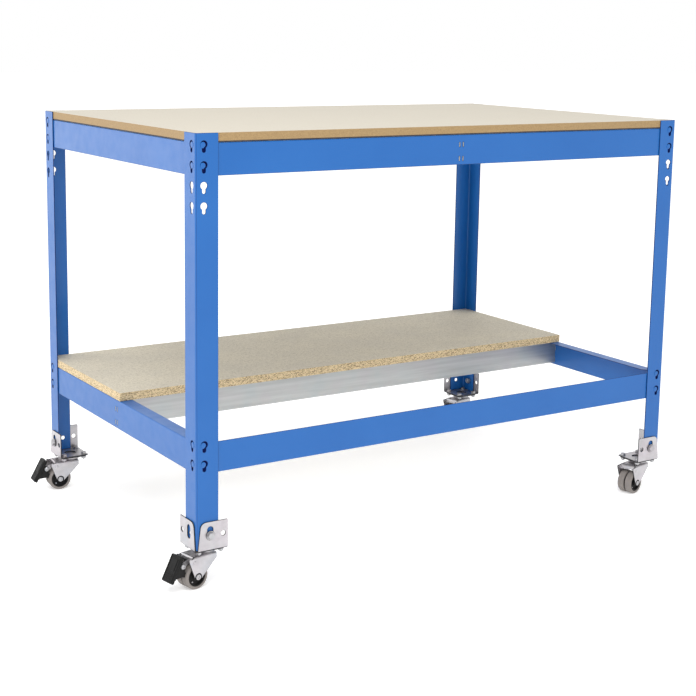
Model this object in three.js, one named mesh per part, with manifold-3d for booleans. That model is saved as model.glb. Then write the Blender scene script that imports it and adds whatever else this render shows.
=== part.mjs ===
// Boltless steel workbench on four twin-wheel swivel castors.
// Millimetres, +Z up, +X along the bench, -Y towards the user, origin on the floor.

import * as THREE from 'three';
import { mergeVertices } from 'three/addons/utils/BufferGeometryUtils.js';
import Module from 'manifold-3d';

const wasm = await Module();
wasm.setup();

// ---- Driving dimensions ----

const LENGTH = 1220; // over the posts, along X
const DEPTH = 760; // over the posts, along Y
const GAP = 0.3; // left between pieces that touch
const ARC_STEPS = 3; // half the segments in each arc of an outline
const WHEEL_STEPS = 20; // segments round a tyre, hub or raceway
const WELD = 1e-4; // vertices closer than this are one
const LAP = 1; // how far a tool or a joined piece reaches past a face

const POST = { length: 800, leg: 47, sheet: 2, bend: 5 };
const BOARD = 18; // thickness of both boards
const BOARD_NICK = 2.3; // corner cut that clears the bend of a post
const SHELF_FRONT = -18; // front edge of the half-depth shelf
const BEAM = { height: 61.5, sheet: 1.5, flange: 30, end: 6, mitre: 1.7 };
const BEAM_RISE = 150; // foot of a post to the underside of a lower beam

const KEYHOLE = { pitch: 38, inset: 17, round: 7, slot: 3.5, roundUp: 4, slotDown: 7.5 };
const KEYHOLE_TOP = 25; // top of a post to its first keyhole
const KEYHOLE_ROWS = 4; // rows below the top of a post
const HOOK = { width: 2.8, top: -1.6, bottom: -10.6, reach: 2.6, row: 17 };

const TIE = { width: 10.5, height: 56, sheet: 1.5, wing: 5.5, wingLength: 15, tab: 9, clear: 0.4 };
const TIE_SLOT = { width: 2.5, height: 10, drops: [20, 49] };

const BRACKET = { size: 66, sheet: 2.5, height: 58, start: 7, round: 12, corner: 6 };
const BRACKET_SLOT = { along: 28, up: 35, width: 13, height: 28 };
const BRACKET_HOLE = { along: 56, up: 31, radius: 5.25 };
const BOLT = { along: 28, up: 31, radius: 3.9, hole: 4.6, flats: 13, head: 5.5, nut: 6.5, tip: 2 };
const WASHER = { radius: 9.5, thick: 1.6 };

const SWIVEL_INSET = 33; // post corner to the swivel axis, in X and in Y
const TRAIL = 30; // swivel axis to the axle
const SWIVEL = { front_left: 10, front_right: 14, back_left: -5, back_right: 15 }; // degrees at rest
const PLATE = { size: 60, sheet: 2.5, corner: 6 };
const RACE = { radius: 23, neck: 20, height: 6.4, chamfer: 2, gap: 2 };
const KING = { radius: 6, hole: 6.6, head: 9, headThick: 2.5, play: 0.5 };
const FORK = { half: 22, sheet: 2.5, back: 52, front: 14, crownBack: 43, lip: 11.5 };
const CHEEK = { toe: 8, backShoulder: 7, frontShoulder: 9, round: 4 };
const TYRE = { radius: 26, seat: 20, width: 16.5, shoulder: 4, centre: 9.75 };
const HUB = { bore: 4.3, boss: 8, rim: 16.5, recess: 4, width: 15 };
const AXLE = { radius: 4, hole: 4.4, head: 5.5, headThick: 1.6 };
const PEDAL = { top: [-66, 74], length: 54.6, width: 30, thick: 9, edge: 1.5, tilt: 28.5 };
const PIVOT = { at: [-60, 52], radius: 3, hole: 3.4, head: 5.5, headThick: 3, half: 13.4 };
const EAR = { inner: 8, outer: 10, radius: 6, rootIn: 1.5, rootDrop: 4.5 };
const LEVER = { inner: 11, outer: 13, radius: 6, plate: 2, arm: [26, 44], bridge: [32, 46] };
const SHOE = { gap: 0.6, thick: 3, arc: [152, 172], low: [3, 5], high: [1, 12] };

// ---- Levels that follow from them ----

const forkTop = 67.5;
const plateFoot = forkTop + RACE.gap + RACE.height;
const bracketFoot = plateFoot + PLATE.sheet + GAP;
const postFoot = bracketFoot + BRACKET.sheet + GAP;
const postTop = postFoot + POST.length;
const upperBeamFoot = postTop - BOARD - GAP - BEAM.height;
const lowerBeamFoot = postFoot + BEAM_RISE;
const webInset = POST.sheet + GAP; // post face to the outer face of a beam

// ---- Finishes ----

const finish = {
  blue: { color: 0x2f6fc0, roughness: 0.42, metalness: 0.1 },
  worktop: { color: 0xeadfc8, roughness: 0.6, metalness: 0 },
  chipboard: { color: 0xb9ac94, roughness: 0.8, metalness: 0 },
  zinc: { color: 0xc6cacd, roughness: 0.35, metalness: 0.8 },
  tyre: { color: 0x8f847d, roughness: 0.75, metalness: 0 },
  black: { color: 0x1c1c1d, roughness: 0.55, metalness: 0 },
};

// ---- Solids: welded geometries with their faces pointing out ----

function signedVolume(geometry) {
  const p = geometry.attributes.position;
  const corner = (i) => new THREE.Vector3().fromBufferAttribute(p, geometry.index.getX(i));
  let sum = 0;
  for (let i = 0; i < geometry.index.count; i += 3) {
    sum += corner(i).dot(corner(i + 1).cross(corner(i + 2)));
  }
  return sum / 6;
}

function solid(geometry) {
  const bare = geometry.clone();
  bare.deleteAttribute('normal');
  bare.deleteAttribute('uv');
  const welded = mergeVertices(bare, WELD);
  const all = Array.from(welded.index.array);
  const kept = [];
  for (let i = 0; i < all.length; i += 3) {
    const [a, b, c] = all.slice(i, i + 3);
    if (a !== b && b !== c && c !== a) kept.push(a, b, c);
  }
  welded.setIndex(kept);
  if (signedVolume(welded) < 0) welded.setIndex(kept.reverse());
  return welded;
}

function toManifold(geometry) {
  const vertProperties = new Float32Array(geometry.attributes.position.array);
  const triVerts = new Uint32Array(geometry.index.array);
  return new wasm.Manifold(new wasm.Mesh({ numProp: 3, vertProperties, triVerts }));
}

function fromManifold(manifold) {
  const mesh = manifold.getMesh();
  const geometry = new THREE.BufferGeometry();
  geometry.setAttribute('position', new THREE.BufferAttribute(mesh.vertProperties, 3));
  geometry.setIndex(Array.from(mesh.triVerts));
  return solid(geometry);
}

const join = (...parts) => fromManifold(parts.map(toManifold).reduce((a, b) => a.add(b)));
const cut = (body, ...tools) => {
  const start = toManifold(body);
  return fromManifold(tools.map(toManifold).reduce((a, b) => a.subtract(b), start));
};

// ---- Basic forms ----

function box([x0, x1], [y0, y1], [z0, z1]) {
  const form = new THREE.BoxGeometry(x1 - x0, y1 - y0, z1 - z0);
  return solid(form.translate((x0 + x1) / 2, (y0 + y1) / 2, (z0 + z1) / 2));
}

// A shape drawn in XY, from z0 to z1.
function slab(shape, [z0, z1]) {
  const options = { depth: z1 - z0, bevelEnabled: false, curveSegments: ARC_STEPS };
  return solid(new THREE.ExtrudeGeometry(shape, options).translate(0, 0, z0));
}

// A shape drawn in XZ, from y0 to y1.
function wall(shape, [y0, y1]) {
  return solid(slab(shape, [0, y1 - y0]).rotateX(Math.PI / 2).translate(0, y1, 0));
}

// A profile of [radius, z] points turned about the Z axis.
function turned(profile, steps) {
  const points = profile.map(([r, z]) => new THREE.Vector2(r, z));
  return solid(new THREE.LatheGeometry(points, steps).rotateX(Math.PI / 2));
}

// A disc or pin about the Y axis, from y0 to y1.
function pin(radius, [y0, y1], steps = 12) {
  const form = new THREE.CylinderGeometry(radius, radius, y1 - y0, steps);
  return solid(form.translate(0, (y0 + y1) / 2, 0));
}

const hexPin = (flats, span) => pin(flats / Math.sqrt(3), span, 6);

function polygon(points) {
  return new THREE.Shape(points.map(([x, y]) => new THREE.Vector2(x, y)));
}

function roundedRect(x0, x1, y0, y1, r) {
  const shape = new THREE.Shape();
  shape.absarc(x1 - r, y0 + r, r, -Math.PI / 2, 0, false);
  shape.absarc(x1 - r, y1 - r, r, 0, Math.PI / 2, false);
  shape.absarc(x0 + r, y1 - r, r, Math.PI / 2, Math.PI, false);
  shape.absarc(x0 + r, y0 + r, r, Math.PI, 1.5 * Math.PI, false);
  return shape;
}

const moved = (geometry, x, y, z) => solid(geometry.clone().translate(x, y, z));
const scaled = (geometry, x, y) => solid(geometry.clone().scale(x, y, 1));

// Swaps X and Y, which turns a piece on one leg of a corner into its twin on the other.
function swapped(geometry) {
  const swap = new THREE.Matrix4().set(0, 1, 0, 0, 1, 0, 0, 0, 0, 0, 1, 0, 0, 0, 0, 1);
  return solid(geometry.clone().applyMatrix4(swap));
}

// ---- Posts, drawn with the outer corner at the origin and the legs along +X and +Y ----

function angleSection({ leg, sheet, bend }) {
  const shape = new THREE.Shape();
  shape.moveTo(leg, 0);
  shape.lineTo(leg, sheet);
  shape.absarc(bend, bend, bend - sheet, 1.5 * Math.PI, Math.PI, true);
  shape.lineTo(sheet, leg);
  shape.lineTo(0, leg);
  shape.absarc(bend, bend, bend, Math.PI, 1.5 * Math.PI, false);
  return shape;
}

function keyholeShape(x, z) {
  const { round, slot, roundUp, slotDown } = KEYHOLE;
  const meet = Math.acos(slot / round);
  const shape = new THREE.Shape();
  shape.absarc(x, z - slotDown, slot, Math.PI, 2 * Math.PI, false);
  shape.absarc(x, z + roundUp, round, -meet, Math.PI + meet, false);
  return shape;
}

function keyholeLevels() {
  const levels = [];
  for (let row = 0; row < KEYHOLE_ROWS; row += 1) {
    levels.push(POST.length - KEYHOLE_TOP - row * KEYHOLE.pitch);
  }
  levels.push(BEAM_RISE + HOOK.row, BEAM_RISE + HOOK.row + KEYHOLE.pitch);
  return levels;
}

function makePost() {
  const body = slab(angleSection(POST), [0, POST.length]);
  const through = [-LAP, POST.sheet + LAP];
  const holes = keyholeLevels().map((z) => wall(keyholeShape(KEYHOLE.inset, z), through));
  holes.push(moved(pin(BOLT.hole, through), BOLT.along, 0, BOLT.up - GAP - BRACKET.sheet));
  return cut(body, ...holes, ...holes.map(swapped));
}

// ---- Beams, drawn along X with the web's outer face at y = 0 and the underside at z = 0 ----

function makeBeam(span, { flangeLow = false, slotted = false } = {}) {
  const { height, sheet, flange, end, mitre } = BEAM;
  const half = span / 2 - end;
  const flangeEnd = half - flange + mitre;
  const level = flangeLow ? [0, sheet] : [height - sheet, height];
  const outline = [[-half, 0], [half, 0], [half, mitre], [flangeEnd, flange]];
  outline.push([-flangeEnd, flange], [-half, mitre]);
  const parts = [box([-half, half], [0, sheet], [0, height]), slab(polygon(outline), level)];
  for (const side of [-1, 1]) {
    const x = side * (span / 2 - KEYHOLE.inset);
    for (const row of [HOOK.row, HOOK.row + KEYHOLE.pitch]) {
      const across = [x - HOOK.width / 2, x + HOOK.width / 2];
      parts.push(box(across, [-HOOK.reach, sheet / 2], [row + HOOK.bottom, row + HOOK.top]));
    }
  }
  const body = join(...parts);
  return slotted ? cut(body, ...tieSlots()) : body;
}

const tieWebCentre = (TIE.width - TIE.sheet) / 2;

function tieSlots() {
  const { width, height, drops } = TIE_SLOT;
  const slots = [];
  for (const x of [-tieWebCentre, tieWebCentre]) {
    for (const drop of drops) {
      const z = BEAM.height - drop;
      const across = [x - width / 2, x + width / 2];
      slots.push(box(across, [-LAP, BEAM.sheet + LAP], [z - height / 2, z + height / 2]));
    }
  }
  return slots;
}

// ---- Tie bars: an inverted channel whose tabs pass through the slots of two beams ----

function tieWebShape(webEnd, crownEnd) {
  const { height, sheet, tab, clear } = TIE;
  const tabEnd = webEnd + GAP + BEAM.sheet + GAP;
  const shoulder = height - sheet - clear;
  const right = [[webEnd, 0]];
  for (const drop of [...TIE_SLOT.drops].reverse()) {
    const z = height - drop;
    right.push([webEnd, z - tab / 2], [tabEnd, z - tab / 2]);
    right.push([tabEnd, z + tab / 2], [webEnd, z + tab / 2]);
  }
  right.push([webEnd, shoulder], [crownEnd, shoulder], [crownEnd, height]);
  const left = right.map(([x, z]) => [-x, z]).reverse();
  return polygon([...right, ...left]);
}

function makeTie(span) {
  const { width, height, sheet, wing, wingLength, clear } = TIE;
  const webEnd = span / 2 - webInset - BEAM.sheet - GAP;
  const crownEnd = span / 2 - webInset - BEAM.flange - clear;
  const web = wall(tieWebShape(webEnd, crownEnd), [-width / 2, sheet - width / 2]);
  const crownLevel = [height - sheet, height];
  const crown = box([-crownEnd, crownEnd], [-width / 2, width / 2], crownLevel);
  const wings = [-1, 1].map((side) => {
    const ends = [side * crownEnd, side * (crownEnd - wingLength)].sort((a, b) => a - b);
    return box(ends, [-width / 2 - wing, width / 2 + wing], crownLevel);
  });
  return join(web, scaled(web, 1, -1), crown, ...wings);
}

// ---- Boards ----

function makeBoard(y0, y1, nickFront) {
  const edge = LENGTH / 2 - webInset;
  const n = BOARD_NICK;
  const front = nickFront ? [[edge - n, y0], [edge, y0 + n]] : [[edge, y0]];
  const right = [...front, [edge, y1 - n], [edge - n, y1]];
  const left = right.map(([x, y]) => [-x, y]).reverse();
  return slab(polygon([...right, ...left]), [0, BOARD]);
}

// ---- Castor brackets, drawn like a post: a base with two flanges outside the legs ----

function flangeShape() {
  const { size, height, start, round } = BRACKET;
  const shape = new THREE.Shape();
  shape.moveTo(start, 0);
  shape.lineTo(size, 0);
  shape.lineTo(size, height);
  shape.absarc(start + round, height - round, round, Math.PI / 2, Math.PI, false);
  return shape;
}

function bracketBaseShape(outer) {
  const { size, corner, start } = BRACKET;
  const shape = new THREE.Shape();
  shape.moveTo(start, outer);
  shape.lineTo(size, outer);
  shape.absarc(size - corner, size - corner, corner, 0, Math.PI / 2, false);
  shape.lineTo(outer, size);
  shape.lineTo(outer, start);
  return shape;
}

function makeBracket() {
  const { sheet } = BRACKET;
  const outer = -GAP - sheet;
  const base = slab(bracketBaseShape(outer), [0, sheet]);
  const flange = wall(flangeShape(), [outer, -GAP]);
  const { along, up, width, height } = BRACKET_SLOT;
  const r = width / 2;
  const slotShape = roundedRect(along - r, along + r, up - height / 2, up + height / 2, r - WELD);
  const through = [outer - LAP, GAP];
  const slot = wall(slotShape, through);
  const hole = moved(pin(BRACKET_HOLE.radius, through), BRACKET_HOLE.along, 0, BRACKET_HOLE.up);
  return cut(join(base, flange, swapped(flange)), slot, hole, swapped(slot), swapped(hole));
}

// A bolt, washer and nut through a bracket flange and the leg along X.
function makeBracketBolt() {
  const washerFace = -GAP - BRACKET.sheet - GAP;
  const headFace = washerFace - WASHER.thick;
  const nutFace = POST.sheet + GAP;
  const nutEnd = nutFace + BOLT.nut;
  const parts = [
    pin(BOLT.radius, [headFace - LAP, nutEnd + BOLT.tip]),
    pin(WASHER.radius, [headFace, washerFace], 16),
    hexPin(BOLT.flats, [headFace - BOLT.head, headFace]),
    hexPin(BOLT.flats, [nutFace, nutEnd]),
  ];
  return moved(join(...parts), BOLT.along, 0, BOLT.up);
}

// ---- Castor pieces, drawn with the swivel axis on Z, the floor at z = 0, trailing to -X ----

function makePlate() {
  const half = PLATE.size / 2;
  const plateShape = roundedRect(-half, half, -half, half, PLATE.corner);
  const plate = slab(plateShape, [plateFoot, plateFoot + PLATE.sheet]);
  const crownFoot = forkTop - FORK.sheet;
  const raceFoot = plateFoot - RACE.height;
  const headTop = crownFoot - KING.play;
  const profile = [
    [0, headTop - KING.headThick],
    [KING.head, headTop - KING.headThick],
    [KING.head, headTop],
    [KING.radius, headTop],
    [KING.radius, raceFoot],
    [RACE.neck, raceFoot],
    [RACE.radius, raceFoot + RACE.chamfer],
    [RACE.radius, plateFoot + PLATE.sheet / 2],
    [0, plateFoot + PLATE.sheet / 2],
  ];
  return join(plate, turned(profile, WHEEL_STEPS));
}

// One cheek of the fork, in XZ: a triangle with a round toe about the axle.
function cheekShape() {
  const { back, front } = FORK;
  const { toe, backShoulder, frontShoulder, round } = CHEEK;
  const axle = new THREE.Vector2(-TRAIL, TYRE.radius);
  const tangentAngle = (x, z, side) => {
    const away = new THREE.Vector2(x, z).sub(axle);
    return away.angle() + side * Math.acos(toe / away.length());
  };
  const shape = new THREE.Shape();
  const from = tangentAngle(-back, forkTop - backShoulder, 1);
  const to = tangentAngle(front, forkTop - frontShoulder, -1);
  shape.moveTo(-back, forkTop);
  shape.lineTo(-back, forkTop - backShoulder);
  shape.absarc(axle.x, axle.y, toe, from, to, false);
  shape.lineTo(front, forkTop - frontShoulder);
  shape.absarc(front - round, forkTop - round, round, 0, Math.PI / 2, false);
  return shape;
}

// One ear for the brake, in XZ: a round eye about the pivot, running up to the crown.
function earShape() {
  const [px, pz] = PIVOT.at;
  const root = new THREE.Vector2(-FORK.crownBack + EAR.rootIn, forkTop - EAR.rootDrop);
  const along = root.clone().sub(new THREE.Vector2(px, pz)).angle();
  const shape = new THREE.Shape();
  shape.moveTo(root.x, forkTop);
  shape.lineTo(root.x - LAP, forkTop);
  shape.absarc(px, pz, EAR.radius, along + Math.PI / 2, along + 1.5 * Math.PI, false);
  shape.lineTo(root.x, forkTop - FORK.lip);
  return shape;
}

function makeFork(braked) {
  const { half, sheet, front, crownBack, lip } = FORK;
  const crownLevel = [forkTop - sheet, forkTop];
  const cheek = wall(cheekShape(), [-half, sheet - half]);
  const crown = box([-crownBack, front], [-half, half], crownLevel);
  const across = [-half + sheet / 2, half - sheet / 2];
  const backLip = box([-crownBack, sheet - crownBack], across, [forkTop - lip, forkTop]);
  const parts = [cheek, scaled(cheek, 1, -1), crown, backLip];
  if (braked) {
    const ear = wall(earShape(), [EAR.inner, EAR.outer]);
    parts.push(ear, scaled(ear, 1, -1));
  }
  const high = forkTop + LAP;
  const kingHole = turned([[0, 0], [KING.hole, 0], [KING.hole, high], [0, high]], WHEEL_STEPS);
  const axleHole = moved(pin(AXLE.hole, [-half - LAP, half + LAP]), -TRAIL, 0, TYRE.radius);
  const tools = [kingHole, axleHole];
  if (braked) {
    const [px, pz] = PIVOT.at;
    tools.push(moved(pin(PIVOT.hole, [-EAR.outer - LAP, EAR.outer + LAP]), px, 0, pz));
  }
  return cut(join(...parts), ...tools);
}

// A pin about Y with a head at both ends.
function headedPin({ radius, head, headThick }, reach, steps) {
  const shank = pin(radius, [-reach - headThick / 2, reach + headThick / 2], steps);
  const nearHead = pin(head, [-reach - headThick, -reach], steps);
  return join(shank, nearHead, scaled(nearHead, 1, -1));
}

const makeAxle = () => headedPin(AXLE, FORK.half + GAP, 12);
const makePivot = () => headedPin(PIVOT, PIVOT.half, 12);

function makeTyre() {
  const { radius, seat, width, shoulder } = TYRE;
  const half = width / 2;
  const slope = shoulder / 3;
  const profile = [
    [seat, -half],
    [radius - shoulder, -half],
    [radius - slope, -half + slope],
    [radius, -half + shoulder],
    [radius, half - shoulder],
    [radius - slope, half - slope],
    [radius - shoulder, half],
    [seat, half],
    [seat, -half],
  ];
  return solid(turned(profile, WHEEL_STEPS).rotateX(Math.PI / 2));
}

function makeHub() {
  const { bore, boss, rim, recess, width } = HUB;
  const half = width / 2;
  const seat = TYRE.seat - GAP;
  const profile = [
    [bore, -half],
    [boss, -half],
    [boss, -half + recess],
    [rim, -half + recess],
    [rim, -half],
    [seat, -half],
    [seat, half],
    [bore, half],
    [bore, -half],
  ];
  return solid(turned(profile, WHEEL_STEPS).rotateX(Math.PI / 2));
}

// ---- Brake: a tread on a steel lever, with a shoe behind the tyres ----

// The tread's frame: s runs down the tread from its top edge, t runs in from its outer face.
function treadPoint(s, t) {
  const lean = THREE.MathUtils.degToRad(PEDAL.tilt);
  const down = new THREE.Vector2(-Math.sin(lean), -Math.cos(lean));
  const inward = new THREE.Vector2(Math.cos(lean), -Math.sin(lean));
  const [x, z] = PEDAL.top;
  return [x + s * down.x + t * inward.x, z + s * down.y + t * inward.y];
}

function makePedal() {
  const { length, width, thick, edge } = PEDAL;
  const outline = [
    treadPoint(edge, 0),
    treadPoint(length - edge, 0),
    treadPoint(length, edge),
    treadPoint(length, thick),
    treadPoint(0, thick),
    treadPoint(0, edge),
  ];
  return wall(polygon(outline), [-width / 2, width / 2]);
}

// An arc-shaped shoe that follows the tyres, in XZ.
function shoeShape() {
  const inner = TYRE.radius + SHOE.gap;
  const [from, to] = SHOE.arc.map(THREE.MathUtils.degToRad);
  const shape = new THREE.Shape();
  shape.absarc(-TRAIL, TYRE.radius, inner, from, to, false);
  shape.absarc(-TRAIL, TYRE.radius, inner + SHOE.thick, to, from, true);
  return shape;
}

// One cheek of the lever: from the pivot eye to the tread and down to the shoe.
function leverShape() {
  const [px, pz] = PIVOT.at;
  const seat = PEDAL.thick + GAP + LEVER.plate / 2;
  const lean = THREE.MathUtils.degToRad(PEDAL.tilt);
  const shape = new THREE.Shape();
  shape.absarc(px, pz, LEVER.radius, -lean / 2, Math.PI - lean, false);
  for (const s of LEVER.arm) shape.lineTo(...treadPoint(s, seat));
  for (const [back, up] of [SHOE.low, SHOE.high]) {
    shape.lineTo(-TRAIL - TYRE.radius - back, TYRE.radius + up);
  }
  return shape;
}

function makeLever() {
  const { inner, outer, plate, bridge } = LEVER;
  const [px, pz] = PIVOT.at;
  const cheek = wall(leverShape(), [inner, outer]);
  const near = PEDAL.thick + GAP;
  const seat = [
    treadPoint(bridge[0], near),
    treadPoint(bridge[1], near),
    treadPoint(bridge[1], near + plate),
    treadPoint(bridge[0], near + plate),
  ];
  const across = [-outer, outer];
  const body = join(cheek, scaled(cheek, 1, -1), wall(polygon(seat), across), wall(shoeShape(), across));
  return cut(body, moved(pin(PIVOT.hole, [-outer - LAP, outer + LAP]), px, 0, pz));
}

// ---- Assembly ----

const bench = new THREE.Group();

function add(parent, name, geometry, look, [x, y, z] = [0, 0, 0], turn = 0) {
  const mesh = new THREE.Mesh(geometry, new THREE.MeshStandardMaterial(finish[look]));
  mesh.name = name;
  mesh.position.set(x, y, z);
  mesh.rotation.z = turn;
  parent.add(mesh);
}

function addBoards() {
  const edge = DEPTH / 2 - webInset;
  const lowerTop = lowerBeamFoot + BEAM.height + GAP;
  add(bench, 'worktop', makeBoard(-edge, edge, true), 'worktop', [0, 0, postTop - BOARD]);
  add(bench, 'lower_shelf', makeBoard(SHELF_FRONT, edge, false), 'chipboard', [0, 0, lowerTop]);
}

function addBeams() {
  const sides = [
    ['front', LENGTH, DEPTH, 0],
    ['right', DEPTH, LENGTH, Math.PI / 2],
    ['back', LENGTH, DEPTH, Math.PI],
    ['left', DEPTH, LENGTH, -Math.PI / 2],
  ];
  for (const [side, span, across, turn] of sides) {
    const out = across / 2 - webInset;
    const [x, y] = [out * Math.sin(turn), -out * Math.cos(turn)];
    const alongX = span === LENGTH;
    const upper = makeBeam(span, { slotted: alongX });
    const lower = makeBeam(span, { slotted: !alongX, flangeLow: side === 'front' });
    add(bench, `upper_beam_${side}`, upper, 'blue', [x, y, upperBeamFoot], turn);
    add(bench, `lower_beam_${side}`, lower, 'blue', [x, y, lowerBeamFoot], turn);
  }
}

function addTies() {
  const drop = BEAM.height - TIE.height;
  const upper = [0, 0, upperBeamFoot + drop];
  add(bench, 'worktop_tie_bar', makeTie(DEPTH), 'zinc', upper, Math.PI / 2);
  add(bench, 'shelf_tie_bar', makeTie(LENGTH), 'zinc', [0, 0, lowerBeamFoot + drop]);
}

function addCastor(corner, [x, y], braked) {
  add(bench, `castor_plate_${corner}`, makePlate(), 'zinc', [x, y, 0]);
  const castor = new THREE.Group();
  castor.position.set(x, y, 0);
  castor.rotation.z = THREE.MathUtils.degToRad(SWIVEL[corner]);
  bench.add(castor);
  const axle = [-TRAIL, 0, TYRE.radius];
  add(castor, `castor_fork_${corner}`, makeFork(braked), 'zinc');
  add(castor, `castor_axle_${corner}`, makeAxle(), 'zinc', axle);
  for (const [side, out] of [['near', -1], ['far', 1]]) {
    const centre = [-TRAIL, out * TYRE.centre, TYRE.radius];
    add(castor, `tyre_${side}_${corner}`, makeTyre(), 'tyre', centre);
    add(castor, `hub_${side}_${corner}`, scaled(makeHub(), 1, -out), 'black', centre);
  }
  if (!braked) return;
  const [px, pz] = PIVOT.at;
  add(castor, `brake_pedal_${corner}`, makePedal(), 'black');
  add(castor, `brake_lever_${corner}`, makeLever(), 'black');
  add(castor, `brake_pivot_${corner}`, makePivot(), 'zinc', [px, 0, pz]);
}

function addCorners() {
  const post = makePost();
  const bracket = makeBracket();
  const frontBolt = makeBracketBolt();
  for (const [sideX, sx] of [['left', -1], ['right', 1]]) {
    for (const [sideY, sy] of [['front', -1], ['back', 1]]) {
      const corner = `${sideY}_${sideX}`;
      const place = [(sx * LENGTH) / 2, (sy * DEPTH) / 2, postFoot];
      const low = [place[0], place[1], bracketFoot];
      const bolt = sideY === 'front' ? frontBolt : swapped(frontBolt);
      add(bench, `post_${corner}`, scaled(post, -sx, -sy), 'blue', place);
      add(bench, `castor_bracket_${corner}`, scaled(bracket, -sx, -sy), 'zinc', low);
      add(bench, `bracket_bolt_${corner}`, scaled(bolt, -sx, -sy), 'zinc', low);
      const swivel = [place[0] - sx * SWIVEL_INSET, place[1] - sy * SWIVEL_INSET];
      addCastor(corner, swivel, sideX === 'left');
    }
  }
}

// Puts the origin on the floor under the middle of the whole bench, pedals included.
function centre() {
  bench.updateMatrixWorld(true);
  const bounds = new THREE.Box3().setFromObject(bench, true);
  const middle = bounds.getCenter(new THREE.Vector3());
  bench.position.set(-middle.x, -middle.y, -bounds.min.z);
}

addBoards();
addBeams();
addTies();
addCorners();
centre();

export default bench;
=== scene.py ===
"""Looks of the boltless mobile workbench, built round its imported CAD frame.

Shapes are drawn in millimetres and turned into metres when a piece is made.
"""

import math

import bmesh
import bpy
from mathutils import Matrix, Vector


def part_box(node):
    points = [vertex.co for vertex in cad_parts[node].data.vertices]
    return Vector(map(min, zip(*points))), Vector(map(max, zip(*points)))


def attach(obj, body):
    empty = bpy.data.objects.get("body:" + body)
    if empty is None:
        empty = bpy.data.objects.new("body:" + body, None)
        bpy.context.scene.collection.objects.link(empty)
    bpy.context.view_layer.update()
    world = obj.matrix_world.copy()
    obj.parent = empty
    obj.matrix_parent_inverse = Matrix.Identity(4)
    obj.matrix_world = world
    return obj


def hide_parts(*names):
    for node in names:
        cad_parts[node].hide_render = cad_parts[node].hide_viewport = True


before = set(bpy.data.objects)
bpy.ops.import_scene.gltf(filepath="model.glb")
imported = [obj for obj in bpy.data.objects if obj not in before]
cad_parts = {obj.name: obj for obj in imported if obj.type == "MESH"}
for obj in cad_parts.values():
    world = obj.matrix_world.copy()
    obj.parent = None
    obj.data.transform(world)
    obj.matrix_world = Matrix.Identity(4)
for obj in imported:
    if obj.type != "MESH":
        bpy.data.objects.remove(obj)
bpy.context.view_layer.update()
scene = bpy.context.scene

# ---- Driving dimensions, in mm: most repeat the CAD part's, a few are for the looks alone ----

MM = 0.001
LENGTH, DEPTH, GAP = 1220, 760, 0.3
POST = {"length": 800, "leg": 47, "sheet": 2, "bend": 5, "crease": 1.4}
BEAM = {"height": 61.5, "sheet": 1.5, "flange": 30, "end": 6, "bend": 3}
BOARD = 18
BOARD_NICK = 2.3
SHELF_FRONT = -18
POST_FOOT = 81.5
POST_TOP = POST_FOOT + POST["length"]
UPPER_BEAM = POST_TOP - BOARD - GAP - BEAM["height"]
LOWER_BEAM = POST_FOOT + 150
WEB_INSET = POST["sheet"] + GAP
KEYHOLE = {"inset": 17, "round": 7, "slot": 3.5, "up": 4, "down": 7.5}
KEYHOLE_ROWS = [800 - 25 - 38 * row for row in range(4)] + [150 + 17, 150 + 55]
HOOK_ROWS = [17, 55]
TIE_SLOTS = {"width": 2.5, "height": 10, "across": 4.5, "drops": [20, 49]}
BRACKET_FOOT = 78.7
BRACKET = {"size": 66, "height": 58, "sheet": 2.5, "bend": 3.5, "corner": 6, "seam": 2}
BRACKET_EDGE = {"foot": 1.5, "top": 7, "round": 12}
BRACKET_SLOT = {"up": 35, "across": 28, "half": 14, "round": 6.5}
BRACKET_HOLE = {"up": 31, "across": 56, "radius": 5.25}
BOLT = {"up": 31, "across": 28, "hole": 4.6, "flats": 13, "shank": 3.9}
SWIVEL_INSET = 33
TRAIL = 30
SWIVEL = {"front_left": 10, "front_right": 14, "back_left": -5, "back_right": 15}
AXLE_UP = 26
TYRE_WIDTH = 16.5
WHEEL_OFFSET = 9.75
FORK = {"top": 67.5, "half": 22, "sheet": 2.5, "bend": 4, "toe": 8, "axle_hole": 4.4, "pin_hole": 6.8}
PLATE = {"foot": 75.9, "size": 60, "sheet": 2.5}
PEDAL = {"top": (-66, 74), "length": 54.6, "width": 30, "thick": 9, "tilt": 28.5}
PIVOT = (-60, 52)

worktop_low, worktop_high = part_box("worktop")
MIDDLE = (worktop_low + worktop_high) / 2 / MM
SIDES = {"left": -1, "right": 1}
ENDS = {"front": -1, "back": 1}


# ---- Outlines: closed lists of (x, y) points ----


def arc(centre, radius, start, end, steps):
    """Points on an arc, angles in degrees, both ends included."""
    points = []
    for step in range(steps + 1):
        angle = math.radians(start + (end - start) * step / steps)
        points.append(
            (centre[0] + radius * math.cos(angle), centre[1] + radius * math.sin(angle))
        )
    return points


def circle(centre, radius, steps=32):
    return arc(centre, radius, 0, 360, steps)[:-1]


def rounded_rect(x0, x1, y0, y1, radius, steps=6):
    corners = [
        ((x1 - radius, y0 + radius), -90),
        ((x1 - radius, y1 - radius), 0),
        ((x0 + radius, y1 - radius), 90),
        ((x0 + radius, y0 + radius), 180),
    ]
    points = []
    for centre, start in corners:
        points += arc(centre, radius, start, start + 90, steps)
    return points


def rounded(points, radius, steps=4):
    """A polygon with each corner replaced by an arc of about that radius."""
    made = []
    count = len(points)
    for index, point in enumerate(points):
        here = Vector(point)
        before = (Vector(points[index - 1]) - here).normalized()
        after = (Vector(points[(index + 1) % count]) - here).normalized()
        start, end = here + before * radius, here + after * radius
        for step in range(steps + 1):
            t = step / steps
            made.append(tuple(start.lerp(here, t).lerp(here.lerp(end, t), t)))
    return made


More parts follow.
